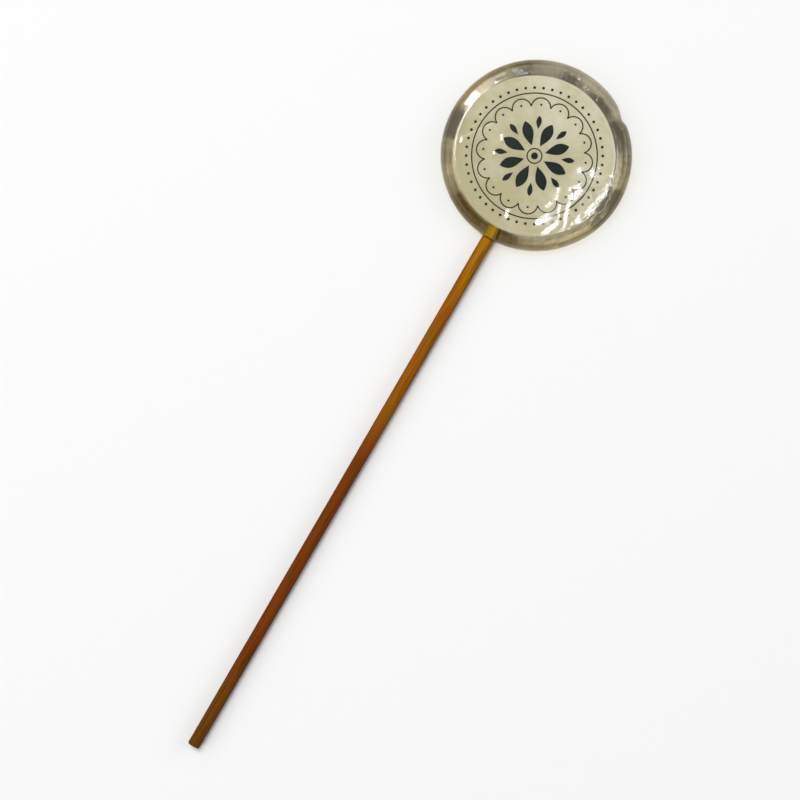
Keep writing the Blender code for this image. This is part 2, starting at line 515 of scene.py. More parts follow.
# The thin clouded layer that laps over the paper's edge, with a painted sheen standing in for the
# highlights there
FILM_AND_SHEEN = (
    Patch(314.0, 38.0, 0.30, 27.0 * MM),
    Patch(352.0, 10.0, 0.14, 26.6 * MM),
    Patch(24.0, 10.0, 0.12, 26.2 * MM),
)
FILM_SHEEN_FULL = 0.5  # times the half width
FILM_SHEEN_LAP, FILM_SHEEN_SOFT, FILM_SHEEN_RAGS = 1.2 * MM, 0.8 * MM, 2.0 * MM
FILM_SHEEN_GRAIN = Grain(1.6 * MM)

# The colours of the ring. A pair is where a step is 0 and where it is 1.
BROWN, OLIVE, GREY = Sector(263.0, 38.0, 10.0), Sector(150.0, 42.0, 20.0), Sector(80.0, 52.0, 22.0)
BROWN_DRIFT, GREY_DRIFT = 0.03, 0.1
BROWN_DARKNESS = 0.62
DRIFT = Grain(2.6 * MM, 5.0, 0.6)
SPOKES = Grain(0.026, 2.0)  # in radians round the ring
SPOKE_TWIST = 6.0
SPOKE_RUN = (0.30, 0.72)
# The stick's stretch of the ring: past the stick's right side it is a painted glow
STICK_LEFT, STICK_RIGHT = (-2.2 * MM, -1.6 * MM), (3.6 * MM, 2.2 * MM)
STICK_FRONT = (-20.0 * MM, -22.0 * MM)
# The dark patches everywhere, between spokes, and how far the clouded layer with its painted sheen
# clears them
SMOKE_SHADE_BASE, SMOKE_SHADE_GAPS, SMOKE_SHADE_UNDER_SHEEN = 0.94, 0.10, 2.5  # everywhere, between spokes, under film
DARK_BASE, DARK_GAPS, DARK_DRIFT = 0.10, 0.10, 0.4  # everywhere, between spokes, with the noise
# The outer edge: the sugar's olive tint, darkened as painted shade of the rim
EDGE_START, EDGE_FULL, EDGE_DRIFT = 2.3 * MM, 1.2 * MM, 1.2 * MM  # in from the outer radius
EDGE_SHARE, EDGE_LESS_BROWN, EDGE_LESS_GREY = 0.8, 0.8, 0.5
OLIVE_SHARE, AMBER_AND_GLOW_SHARE = 0.65, 0.9
WALL_OUT, WALL_TOP, WALL_FOOT = (28.6 * MM, 29.4 * MM), (4.8 * MM, 4.2 * MM), (0.1 * MM, 0.5 * MM)

# The sugar over the paper, clouded over the folds as a painted sheen
PAPER_EDGE = (-0.15 * MM, 0.3 * MM)
FOLDED, FOLDED_OUT = Sector(-24.0, 46.0, 22.0), (11.0 * MM, 16.0 * MM)
SHEEN_WISPS, SHEEN_WISP_RUN, SHEEN_WISP_SHARE = Grain(3.2 * MM, 3.0, 0.6), (0.38, 0.68), 0.25
MILK_SHEEN_X, MILK_SHEEN_Y, MILK_SHEEN_RUN = 14.4 * MM, -15.7 * MM, (4.0 * MM, 1.0 * MM)
MILK_SHEEN_RAGS, MILK_SHEEN_SHARE = 3.0 * MM, 0.28

# How light meets the sugar
SUGAR_IOR = 1.5
RING_ROUGHNESS, FACE_EXTRA, FACE_EDGE = 0.05, 0.06, (26.6 * MM, 25.8 * MM)
SHEEN_VEIL_ROUGHNESS = 0.35
RIPPLES, RIPPLE_HEIGHT, RIPPLE_STRENGTH = Grain(1.3 * MM), 0.05 * MM, 0.09
SHADOW_TINT = (0.88, 0.86, 0.81)
DEPTH_TINT, DEPTH_DENSITY = (0.80, 0.74, 0.56), 25.0


def facing(place, bearing):
    """1 where a place is at a bearing in degrees, falling to -1 at the opposite side."""
    towards = at_bearing(math.radians(bearing), 1.0)
    return (towards.x * place.x + towards.y * place.y) / place.out


def arc(half_width):
    """What facing comes to at a half width in degrees from its bearing."""
    return math.cos(math.radians(half_width))


def in_sector(sugar, place, sector, drift=0.0):
    """1 in a sector and 0 outside it."""
    turned = facing(place, sector.bearing) + drift
    return sugar.step(turned, arc(sector.ends), arc(sector.full))


def smoke_and_shade(sugar, place, drift):
    """How dark the ring's patches are: darker sugar with painted shade, darkest beside the paper,
    with lumpy outsides.
    """
    smoky_and_shaded = 0.0
    for patch in SMOKE_AND_SHADE:
        width = patch.half_width
        sector = Sector(patch.bearing, width * SMOKE_SHADE_ENDS, width * SMOKE_SHADE_FULL)
        sides = in_sector(sugar, place, sector, SMOKE_SHADE_SIDE_DRIFT * drift)
        lumpy_out = place.out + SMOKE_SHADE_OUT_DRIFT * drift
        inside = sugar.step(lumpy_out, patch.fade + SMOKE_SHADE_GONE, patch.fade - SMOKE_SHADE_THICK)
        smoky_and_shaded = smoky_and_shaded + patch.strength * sides * (SMOKE_SHADE_LEFT + (1.0 - SMOKE_SHADE_LEFT) * inside)
    return smoky_and_shaded


def film_and_sheen_over(sugar, place):
    """How strong the thin clouded layer and its painted sheen are where they lap over the paper's
    edge in a few places.
    """
    ragged = sugar.grain(FILM_SHEEN_GRAIN) - 0.5
    cloudy_and_sheen = 0.0
    for patch in FILM_AND_SHEEN:
        sector = Sector(patch.bearing, patch.half_width, patch.half_width * FILM_SHEEN_FULL)
        sides = in_sector(sugar, place, sector)
        past = place.out - (patch.fade - FILM_SHEEN_LAP) - FILM_SHEEN_LAP * sides + FILM_SHEEN_RAGS * ragged
        cloudy_and_sheen = cloudy_and_sheen + patch.strength * sides * sugar.step(past, FILM_SHEEN_SOFT, -FILM_SHEEN_SOFT)
    return cloudy_and_sheen


def mottled_ring(sugar, candy, place, film_and_sheen):
    """The ring's pale sugar with its fine spokes and its dark patches, which carry painted shade.

    Also gives how brown and how grey a place is, how the noise drifts, and what is over the stick.
    """
    x, y, _, out = place
    drift = sugar.grain(DRIFT) - 0.5
    turned = {0: x / out, 1: y / out, 2: SPOKE_TWIST * out}
    spokes = sugar.node("ShaderNodeCombineXYZ", None, turned)
    gaps = 1.0 - sugar.step(sugar.grain(SPOKES, spokes.outputs[0]), *SPOKE_RUN)
    # Over the stick, and a painted glow past its right side
    over_stick_and_glow = sugar.step(x, *STICK_LEFT) * sugar.step(x, *STICK_RIGHT)
    over_stick_and_glow = over_stick_and_glow * sugar.step(y, *STICK_FRONT)
    brown = in_sector(sugar, place, BROWN, BROWN_DRIFT * drift)
    grey = in_sector(sugar, place, GREY, GREY_DRIFT * drift)
    # Darker sugar with painted shade, darker still on the brown side
    smoky_and_shaded = smoke_and_shade(sugar, place, drift) + BROWN_DARKNESS * brown
    dark = smoky_and_shaded * (SMOKE_SHADE_BASE + SMOKE_SHADE_GAPS * gaps)
    dark = dark * (1.0 - over_stick_and_glow) * (1.0 - SMOKE_SHADE_UNDER_SHEEN * film_and_sheen)
    deep = sugar.blend(brown, candy.smoke_and_shade_tint, candy.brown_tint)
    pale = sugar.blend(grey, candy.pale_tint, candy.grey_tint)
    mottle = sugar.blend(DARK_BASE + DARK_GAPS * gaps + DARK_DRIFT * drift + dark, pale, deep)
    return mottle, brown, grey, drift, over_stick_and_glow


def ring_tint(sugar, candy, place, film_and_sheen):
    """The ring's colour: mottled, dark olive at its outer edge, partly as painted shade, clearer in
    the wall, and amber over the stick with a painted glow beside it.
    """
    mottle, brown, grey, drift, over_stick_and_glow = mottled_ring(sugar, candy, place, film_and_sheen)
    drifted = place.out + EDGE_DRIFT * drift
    edge = sugar.step(drifted, candy.radius - EDGE_START, candy.radius - EDGE_FULL)
    edge_share = EDGE_SHARE * edge * (1.0 - EDGE_LESS_BROWN * brown) * (1.0 - EDGE_LESS_GREY * grey)
    tinted = sugar.blend(edge_share, mottle, candy.edge_tint)
    olive = in_sector(sugar, place, OLIVE)
    tinted = sugar.blend(OLIVE_SHARE * edge * olive, tinted, candy.brown_tint)
    wall = sugar.step(place.z, *WALL_TOP) * sugar.step(place.z, *WALL_FOOT)
    tinted = sugar.blend(sugar.step(place.out, *WALL_OUT) * wall, tinted, candy.wall_tint)
    return sugar.blend(AMBER_AND_GLOW_SHARE * over_stick_and_glow, tinted, candy.amber_and_glow_tint)


def cloud_and_sheen_over_paper(sugar, place):
    """How clouded the sugar over the paper is, as a painted sheen: streaks between the folds, and
    milk in one place.
    """
    folded = in_sector(sugar, place, FOLDED) * sugar.step(place.out, *FOLDED_OUT)
    sheen_wisps = sugar.grain(SHEEN_WISPS)
    from_milk_sheen = length_of(place.x - MILK_SHEEN_X, place.y - MILK_SHEEN_Y)
    milky_sheen = sugar.step(from_milk_sheen + MILK_SHEEN_RAGS * (sheen_wisps - 0.5), *MILK_SHEEN_RUN)
    return SHEEN_WISP_SHARE * folded * sugar.step(sheen_wisps, *SHEEN_WISP_RUN) + MILK_SHEEN_SHARE * milky_sheen


def sugar_material(candy):
    """Clear sugar: untinted over the paper, dark in patches in the ring with painted shade, and
    clouded over the folds with a painted sheen.
    """
    sugar = Recipe("clear_sugar")
    x, y, z = sugar.parts()
    place = Place(x, y, z, length_of(x, y))
    from_paper = length_of(x - PAPER_MIDDLE.x, y - PAPER_MIDDLE.y)
    ring = sugar.step(from_paper - PAPER_HIGH.x + PAPER_MIDDLE.x, *PAPER_EDGE)
    film_and_sheen = film_and_sheen_over(sugar, place)
    cloudy_and_sheen = (1.0 - ring) * cloud_and_sheen_over_paper(sugar, place) + ring * film_and_sheen
    normal = sugar.bump(sugar.grain(RIPPLES), RIPPLE_HEIGHT, RIPPLE_STRENGTH)
    glass = sugar.principled(
        {
            "Base Color": sugar.blend(ring, candy.clear_tint, ring_tint(sugar, candy, place, film_and_sheen)),
            "Roughness": RING_ROUGHNESS + FACE_EXTRA * sugar.step(place.out, *FACE_EDGE),
            "IOR": SUGAR_IOR,
            "Transmission Weight": 1.0,
            "Normal": normal,
        }
    )
    # A clouded, diffuse surface that paints a sheen over the folds and the paper's edge
    sheen_veil = sugar.principled(
        {
            "Base Color": sugar.blend(ring, candy.sheen_veil, candy.film_and_sheen),
            "Roughness": SHEEN_VEIL_ROUGHNESS,
            "IOR": SUGAR_IOR,
            "Normal": normal,
        }
    )
    passing = sugar.node("ShaderNodeBsdfTransparent", None, {"Color": as_colour(SHADOW_TINT)})
    in_shadow = sugar.node("ShaderNodeLightPath").outputs["Is Shadow Ray"]
    surface = sugar.mix_shader(in_shadow, sugar.mix_shader(cloudy_and_sheen, glass, sheen_veil), passing.outputs[0])
    depth = {"Color": as_colour(DEPTH_TINT), "Density": DEPTH_DENSITY}
    return sugar.finish(surface, sugar.node("ShaderNodeVolumeAbsorption", None, depth).outputs[0])


# The paper's material


class Crease(NamedTuple):
    """A faint straight crease: how far it lies to the left of the paper's middle, looking along it,
    where along it its own middle is, and half its length."""

    across: float
    middle: float
    half_length: float


CREASE_BEARING = 54.5
CREASES = (
    Crease(14.7 * MM, -13.2 * MM, 7.0 * MM),
    Crease(16.4 * MM, -13.7 * MM, 3.2 * MM),
)
CREASE_FULL = 0.5  # times its half length
# A painted highlight along each crease, and painted shade on its far side
CREASE_HIGHLIGHT, CREASE_HIGHLIGHT_SHARE = (0.35 * MM, 0.05 * MM), 0.6
SHADE_START, SHADE_END, SHADE_SHARE = (0.0, 0.4 * MM), (3.5 * MM, 0.8 * MM), 0.5

# The paper is paler towards this bearing
PALER_BEARING = 75.0
BLOTCHES, BLOTCH_RUN = Grain(8.0 * MM), (0.30, 0.75)
CLOUDS = Grain(3.0 * MM)
FLECKS, FLECK_RUN = Grain(0.6 * MM, 4.0, 0.7), (0.40, 0.75)
# A painted highlight along the paper's edge, strongest on its paler side
PAPER_HIGHLIGHT_START, PAPER_HIGHLIGHT_FULL = 0.8 * MM, 0.2 * MM  # in from the paper's edge
PALER_SHARE, BLOTCH_SHARE, CLOUD_SHARE, FLECK_SHARE, PAPER_HIGHLIGHT_SHARE = 0.85, 0.6, 0.8, 0.25, 0.5
TOOTH, TOOTH_HEIGHT, TOOTH_STRENGTH = Grain(0.5 * MM, 4.0), 0.04 * MM, 0.4
PAPER_ROUGHNESS, PAPER_SHINE = 0.7, 0.1

SPECKS, SPECK_RUN, SPECK_SHARE = Grain(0.25 * MM, 3.0, 0.6), (0.56, 0.72), 0.4
WORN_INK, WORN_PAPER = 0.7, 0.12
INK_SHINE = 0.05


def creased(wafer, x, y):
    """How much the creases lighten and darken the paper: each is a painted highlight line, with
    painted shade on its far side.
    """
    along = at_bearing(math.radians(CREASE_BEARING), 1.0)
    run = along.x * x + along.y * y
    rise = along.x * y - along.y * x
    crease_light_and_shade = 0.0
    for crease in CREASES:
        off = rise - crease.across
        full = CREASE_FULL * crease.half_length
        in_length = wafer.step(abs(run - crease.middle), crease.half_length, full)
        # The line is a painted highlight along the crease
        line = wafer.step(abs(off), *CREASE_HIGHLIGHT)
        shade = wafer.step(off, *SHADE_START) * wafer.step(off, *SHADE_END)
        crease_light_and_shade = crease_light_and_shade + in_length * (CREASE_HIGHLIGHT_SHARE * line - SHADE_SHARE * shade)
    return crease_light_and_shade


def paper_material(paper):
    """Cream wafer paper: paler towards one side, with a painted highlight along its edge on that
    side, and wetted in blotches.
    """
    wafer = Recipe("printed_wafer_paper")
    x, y, _ = wafer.parts()
    towards = at_bearing(math.radians(PALER_BEARING), 1.0 / paper.radius)
    paler_side = 0.5 + 0.5 * (towards.x * x + towards.y * y)
    blotches = wafer.step(wafer.grain(BLOTCHES), *BLOTCH_RUN) - 0.5
    clouds = wafer.grain(CLOUDS) - 0.5
    flecks = wafer.step(wafer.grain(FLECKS), *FLECK_RUN) - 0.5
    away = length_of(x - PAPER_MIDDLE.x, y - PAPER_MIDDLE.y)
    # The rim is a painted highlight along the paper's edge
    rim = wafer.step(away, paper.radius - PAPER_HIGHLIGHT_START, paper.radius - PAPER_HIGHLIGHT_FULL)
    lightness = PALER_SHARE * paler_side + BLOTCH_SHARE * blotches + CLOUD_SHARE * clouds
    lightness = lightness + FLECK_SHARE * flecks + PAPER_HIGHLIGHT_SHARE * rim * paler_side + creased(wafer, x, y)
    surface = wafer.principled(
        {
            "Base Color": wafer.blend(lightness, paper.cream, paper.pale),
            "Roughness": PAPER_ROUGHNESS,
            "Specular IOR Level": PAPER_SHINE,
            "Normal": wafer.bump(wafer.grain(TOOTH), TOOTH_HEIGHT, TOOTH_STRENGTH),
        }
    )
    return wafer.finish(surface)


def ink_material(paper):
    """Dark green-black ink with a few paler specks."""
    ink = Recipe("print_ink")
    specks = ink.step(ink.grain(SPECKS), *SPECK_RUN)
    mixed = zip(paper.ink, paper.cream)
    worn = tuple(WORN_INK * dark + WORN_PAPER * cream for dark, cream in mixed)
    surface = ink.principled(
        {
            "Base Color": ink.blend(SPECK_SHARE * specks, paper.ink, worn),
            "Roughness": PAPER_ROUGHNESS,
            "Specular IOR Level": INK_SHINE,
        }
    )
    return ink.finish(surface)


# The wood's and the floor's materials

STAINS = (
    (0.0, "amber"),
    (0.16, "honey"),
    (0.32, "honey"),
    (0.44, "russet"),
    (0.80, "russet"),
    (0.92, "umber"),
)
STAIN_START, STAIN_FULL = 0.3 * MM, 0.1 * MM  # inside and outside the head's rim
GOLDEN, GOLDEN_STRETCH, GOLDEN_RUN = Grain(1.0 * MM, 3.0, 0.6), (1.0, 0.10, 1.0), (0.44, 0.62)
GOLDEN_TINT = (0.82, 1.20, 0.80)  # what a golden streak makes of each part of the stain
# A painted shadow where the stick meets the head
JOIN_SHADOW_RUN, JOIN_SHADOW_SHARE = (0.5 * MM, 0.2 * MM), 0.75
# Painted shade that darkens the stick's two sides
SIDE_SHADE_START, SIDE_SHADE_FULL, SIDE_SHADE_SHARE = 0.68, 0.97, 0.5  # the first two in radii
FIBRE_STRETCH = (1.0, 0.035, 1.0)
FIBRES, FIBRE_RUN, FIBRE_SHARE = Grain(0.55 * MM, 4.0, 0.65), (0.46, 0.68), 0.6
RELIEF, RELIEF_HEIGHT, RELIEF_STRENGTH = Grain(0.35 * MM, 3.0, 0.6), 0.08 * MM, 0.6
WOOD_ROUGHNESS, FIBRE_ROUGHNESS, WOOD_SHINE = 0.55, 0.2, 0.05
FLOOR_ROUGHNESS, FLOOR_SHINE = 0.9, 0.2


def wood_material(stick):
    """Wood with fibres along it, stained from amber by the head to umber at the far end, with
    painted shade on its two sides and a painted shadow where it meets the head.
    """
    wood = Recipe("stained_wood")
    x, y, _ = wood.parts()
    down, rim, end = -1.0 * y, -CANDY_LOW.y, -STICK_LOW.y
    stops = [(share, getattr(stick, name)) for share, name in STAINS]
    outside = wood.ramp((down - rim) / (end - rim), stops)
    past_rim = wood.step(down, rim - STAIN_START, rim + STAIN_FULL)
    stain = wood.blend(past_rim, stick.in_sugar, outside)
    golden = wood.step(wood.grain(GOLDEN, wood.stretched(GOLDEN_STRETCH)), *GOLDEN_RUN)
    stain = wood.blend(golden, stain, GOLDEN_TINT, "MULTIPLY")
    # Painted shadow at the join with the head
    join_shade = wood.step(abs(down - rim), *JOIN_SHADOW_RUN)
    # Painted shade on the stick's two sides
    turned = wood.step(abs(x), SIDE_SHADE_START * stick.radius, SIDE_SHADE_FULL * stick.radius)
    along = wood.stretched(FIBRE_STRETCH)
    fibres = wood.step(wood.grain(FIBRES, along), *FIBRE_RUN)
    for share in (JOIN_SHADOW_SHARE * join_shade, SIDE_SHADE_SHARE * turned, FIBRE_SHARE * fibres):
        stain = wood.blend(share, stain, stick.fibre)
    surface = wood.principled(
        {
            "Base Color": stain,
            "Roughness": WOOD_ROUGHNESS + FIBRE_ROUGHNESS * fibres,
            "Specular IOR Level": WOOD_SHINE,
            "Normal": wood.bump(wood.grain(RELIEF, along), RELIEF_HEIGHT, RELIEF_STRENGTH),
        }
    )
    return wood.finish(surface)


def floor_material(colour):
    """A plain pale floor."""
    floor = Recipe("plain_floor")
    surface = floor.principled(
        {
            "Base Color": as_colour(colour),
            "Roughness": FLOOR_ROUGHNESS,
            "Specular IOR Level": FLOOR_SHINE,
        }
    )
    return floor.finish(surface)


# The sugar head


def front_height(out, candy):
    """Height of the front outside the crest: a gentle slope to the shoulder, then an ellipse."""
    past_crest = out - candy.crest
    bent = min(past_crest, candy.slope_start)
    sloped = bent * bent / (2.0 * candy.slope_start) + past_crest - bent
    fall = math.tan(candy.shoulder_slope) * sloped
    turned = max(out - candy.shoulder, 0.0) / (candy.radius - candy.shoulder)
    height = candy.thickness - fall - candy.widest_height
    return candy.widest_height + height * math.sqrt(max(1.0 - turned * turned, 0.0))


def rim_section(candy):
    """Radius and height of each ring, from the back's flat, round the rim, to the face's edge."""
    back_steps, side_steps, shoulder_steps, sink_steps = 8, 18, 9, 5
    rings = []
    for i in range(back_steps + 1):
        turn = math.pi / 2.0 * i / back_steps
        out = candy.back_flat + (candy.radius - candy.back_flat) * math.sin(turn)
        rings.append((out, candy.widest_height * (1.0 - math.cos(turn))))
    for i in range(1, side_steps + 1):
        turn = math.pi / 2.0 * i / side_steps
        out = candy.shoulder + (candy.radius - candy.shoulder) * math.cos(turn)
        rings.append((out, front_height(out, candy)))
    for i in range(1, shoulder_steps + 1):
        out = candy.shoulder + (candy.crest - candy.shoulder) * i / shoulder_steps
        rings.append((out, front_height(out, candy)))
    for i in range(1, sink_steps + 1):
        share = i / sink_steps
        out = candy.crest + (candy.face - candy.crest) * share
        rings.append((out, candy.thickness - candy.sink * ease(share)))
    return rings


def model_head(candy):
    """The round head: rings grown from the back's flat, over the rim and in across the face."""
    sides, ring_gap, last_ring = 500, 0.185 * MM, 0.6 * MM
    rings = rim_section(candy)
    face_rings = round((candy.face - last_ring) / ring_gap)
    for i in range(1, face_rings + 1):
        out = candy.face + (last_ring - candy.face) * i / face_rings
        rings.append((out, candy.thickness - candy.sink))
    head = start_disc("candy_clear", sides, rings[0][0])
    for (out, up), (next_out, next_up) in zip(rings, rings[1:]):
        scale = next_out / out
        grow((0.0, 0.0, next_up - up), (scale, scale, 1.0), (0.0, 0.0, 0.0))
    bpy.ops.mesh.poke()
    return finish_shape(head)


class Stretch(NamedTuple):
    """The bearings within a half width of a middle, with soft ends inside that, all in degrees."""

    middle: float
    half_width: float
    soft: float


SMOOTH_RIM, SMOOTHING = Stretch(176.0, 24.0, 12.0), 0.7
CRINKLED_RIM, CRINKLE_SIZE = Stretch(88.0, 26.0, 20.0), 1.3 * MM
RIM_INSIDE, RIM_OUTSIDE = 1.2 * MM, 1.0 * MM  # over how far the unevenness fades
LUMP_SIZE, SMALL_LUMP_SIZE, SMALL_LUMPS = 4.2 * MM, 1.5 * MM, 0.4
SWELL_LENGTH = 13.0 * MM
HOLLOWED_FACE, CRUMPLE_SIZE = Stretch(-25.0, 38.0, 26.0), 2.1 * MM
HOLLOW_START, HOLLOW_RUN, HOLLOW_FADE = 8.0 * MM, 8.0 * MM, 3.0 * MM
# PUCKERS and LIP_LUMPS are the radii of the circles on which the noise is read
PUCKERED_FACE, PUCKER_BASE, PUCKER_NOISE, PUCKERS = Stretch(-10.0, 30.0, 12.0), 0.4, 1.4, 15.0
LIP_START, LIP_RANGE, LIP_NOISE, LIP_LUMPS = 22.2 * MM, 1.4 * MM, 0.9, 9.0


def within(bearing, stretch):
    """1 at the bearings in a stretch and 0 outside it."""
    off = (math.degrees(bearing) - stretch.middle + 180.0) % 360.0 - 180.0
    return ease((stretch.half_width - abs(off)) / stretch.soft)


def lumpy(place, size):
    """Smooth noise from 0 to 1 with lumps of about a size."""
    return 0.5 + 0.5 * noise.noise(place / size)


def ridged(place, size):
    """Creased noise from 0 to about 1, with creases about a size apart."""
    return 1.0 - 2.0 * abs(noise.noise(place / size))


def rim_dent(bearing, candy):
    """How far the outline is pushed in: a dent in a shallow flat, and a collar at the stick."""
    off = (bearing - candy.dent_bearing + math.pi) % (2.0 * math.pi) - math.pi
    reach = candy.dent_gentle if off > 0.0 else candy.dent_steep
    dent = candy.dent_depth * math.exp(-((off / reach) ** 2))
    flat = candy.flat_depth * math.exp(-((off / candy.flat_reach) ** 2))
    from_stick = (bearing + 1.5 * math.pi) % (2.0 * math.pi) - math.pi
    return dent + flat - candy.collar * math.exp(-((from_stick / candy.collar_reach) ** 4))


class Fold(NamedTuple):
    """A low round-backed fold in the face along a line of points, in millimetres from the middle.

    It falls off over its width on the lit side, and faster on the other. A blister is a short fold.
    """

    points: tuple
    height: float
    width: float

    def stretches(self):
        """Each straight stretch of the fold: its two ends, its height and its width."""
        line = [Vector((x, y, 0.0)) * MM for x, y in self.points]
        height, width = self.height * MM, self.width * MM
        return [(start, end, height, width) for start, end in zip(line, line[1:])]


STEEP_SHARE = 0.45  # of a fold's width, on the side away from the light
LIT_SIDE = at_bearing(math.radians(188.0), 1.0)
LEAST_DISTANCE = 0.01 * MM
FOLDS = (
    # the large blister's lit side, the arch over it and the long fold below it
    Fold(((18.4, -2.9), (18.3, -5.9)), 0.29, 3.8),
    Fold(((15.2, -4.3), (16.4, -2.6), (18.9, -2.1)), 0.12, 1.5),
    Fold(((17.2, -6.3), (17.4, -9.0), (17.9, -10.7)), 0.15, 2.0),
    Fold(((18.3, -10.6), (18.9, -13.3), (19.2, -16.0)), 0.18, 2.4),
    Fold(((20.8, -1.6), (23.2, -3.9)), 0.05, 1.3),
    # the folds beside it
    Fold(((12.4, -6.0), (13.3, -9.1)), 0.13, 2.3),
    Fold(((12.3, -10.9), (11.7, -12.4)), 0.11, 1.8),
    Fold(((14.8, -10.1), (16.3, -13.3)), 0.12, 1.5),
    Fold(((12.8, -18.0), (14.6, -15.0)), 0.26, 3.4),
    Fold(((16.1, -18.8), (17.3, -15.2)), 0.27, 3.5),
    Fold(((16.4, -18.8), (18.8, -16.7)), 0.08, 1.1),
    # the puckers along the paper's edge
    Fold(((21.5, -14.5), (23.3, -12.7), (24.4, -10.1)), 0.15, 2.0),
    Fold(((25.4, -8.7), (26.3, -6.8)), 0.20, 2.7),
    Fold(((25.2, -2.5), (25.3, -4.6)), 0.14, 2.7),
    # single blisters
    Fold(((14.9, 2.5), (15.0, 2.3)), 0.15, 2.0),
    Fold(((19.0, 4.2), (19.6, 3.1)), 0.18, 2.4),
    Fold(((19.7, 5.9), (21.4, 3.3)), 0.07, 1.8),
    Fold(((1.8, -19.9), (2.5, -21.5)), 0.13, 1.8),
    Fold(((-22.2, -7.5), (-21.9, -8.3)), 0.15, 2.0),
    Fold(((-11.8, -0.4), (-11.2, -1.4)), 0.08, 1.2),
    Fold(((-11.1, -6.3), (-11.0, -6.3)), 0.085, 1.4),
    # the lip along the paper's upper edge
    Fold(((-21.9, 13.6), (-19.0, 17.3)), 0.07, 1.3),
)


def fold_rise(place, stretches):
    """How high the highest fold stands at a place of the face."""
    rise = 0.0
    for start, end, height, width in stretches:
        along = end - start
        share = min(max((place - start).dot(along) / along.length_squared, 0.0), 1.0)
        away = place - start - along * share
        distance = away.length
        if distance < width:
            lit = 0.5 + 0.5 * away.dot(LIT_SIDE) / max(distance, LEAST_DISTANCE)
            side = width * (STEEP_SHARE + (1.0 - STEEP_SHARE) * lit)
            rise = max(rise, height * ease(1.0 - distance / side))
    return rise


def rim_drop(place, bearing, out, candy):
    """How far the rim lies below its true section: uneven, with fine crinkles in one stretch."""
    on_rim = ease((out - candy.face) / RIM_INSIDE) * ease((candy.radius - out) / RIM_OUTSIDE)
    uneven = on_rim * candy.unevenness * (1.0 - SMOOTHING * within(bearing, SMOOTH_RIM))
    lumps = lumpy(place, LUMP_SIZE) + SMALL_LUMPS * lumpy(place, SMALL_LUMP_SIZE)
    crinkled = on_rim * within(bearing, CRINKLED_RIM)
    return uneven * lumps + crinkled * candy.crinkle * (1.0 - ridged(place, CRINKLE_SIZE))


def face_drop(place, bearing, out, candy):
    """How far the face lies below its true section: swelling, hollowed and puckered."""
    to_crest = candy.crest - candy.face
    wave = math.sin(math.pi * place.x / SWELL_LENGTH) * math.cos(math.pi * place.y / SWELL_LENGTH)
    swollen = ease((candy.crest - out) / to_crest) * candy.swell * (0.5 + 0.5 * wave)
    hollowed = within(bearing, HOLLOWED_FACE) * ease((out - HOLLOW_START) / HOLLOW_RUN)
    hollowed *= ease((candy.crest - out) / HOLLOW_FADE)
    crumpled = candy.hollow + candy.crumple * (1.0 - ridged(place, CRUMPLE_SIZE))
    lip_lumps = 0.5 + LIP_NOISE * noise.noise(at_bearing(bearing, LIP_LUMPS))
    lip_start = LIP_START + LIP_RANGE * lip_lumps
    puckered = within(bearing, PUCKERED_FACE)
    puckered *= ease(PUCKER_BASE + PUCKER_NOISE * noise.noise(at_bearing(bearing, PUCKERS)))
    narrow_lip = ease((out - candy.face) / to_crest)
    wide_lip = ease((out - lip_start) / (candy.crest - lip_start))
    return swollen + hollowed * crumpled + puckered * candy.sink * (narrow_lip - wide_lip)


def age_surface(head, candy):
    """Dents the rim, lowers the front where it is uneven and folds the face."""
    stretches = [stretch for fold in FOLDS for stretch in fold.stretches()]
    for vert in head.data.vertices:
        out = math.hypot(vert.co.x, vert.co.y)
        bearing = math.atan2(vert.co.y, vert.co.x)
        if vert.co.z > candy.widest_height:
            place = Vector((vert.co.x, vert.co.y, 0.0))
            drop = rim_drop(place, bearing, out, candy) + face_drop(place, bearing, out, candy)
            lowered = vert.co.z - drop + fold_rise(place, stretches)
            vert.co.z = min(lowered, candy.thickness)
        if out > candy.face:
            share = ease((out - candy.face) / (candy.radius - candy.face))
            squeeze = 1.0 - rim_dent(bearing, candy) * share / out
            vert.co.x *= squeeze
            vert.co.y *= squeeze


class LOLLIPOP_OT_candy(bpy.types.Operator):
    """Models the clear sugar head with its dent and folds"""

    bl_idname = "lollipop.add_candy"
    bl_label = "Model the sugar head"

    def execute(self, context):
        candy = context.scene.lollipop_candy
        head = model_head(candy)
        age_surface(head, candy)
        hand_in(head, "clear_sugar", sugar_material(candy), "candy")
        return {"FINISHED"}


# The paper and its print

PAPER_DEPTH = 0.08 * MM  # how far the paper lies below the top of its solid
WAVE_LENGTH, WAVE_SEED = 9.0 * MM, 3.7
PETAL_SIDES, PETAL_INSET = 40, 0.35
PETAL_LEAN, PETAL_FULLNESS = 1.3, 0.8
PRINT_LIFT, PRINT_THICKNESS = 0.03 * MM, 0.05 * MM
PRINT_START = 0.5 * MM  # how far over the paper the print is modelled
EYE_RING = 2.1  # times the eye's radius
SEED_SHARE, SEED_LIFT = 0.8, 0.9 * MM  # a scallop's dot: its size in beads, and its place
DOT_INSET = 0.5


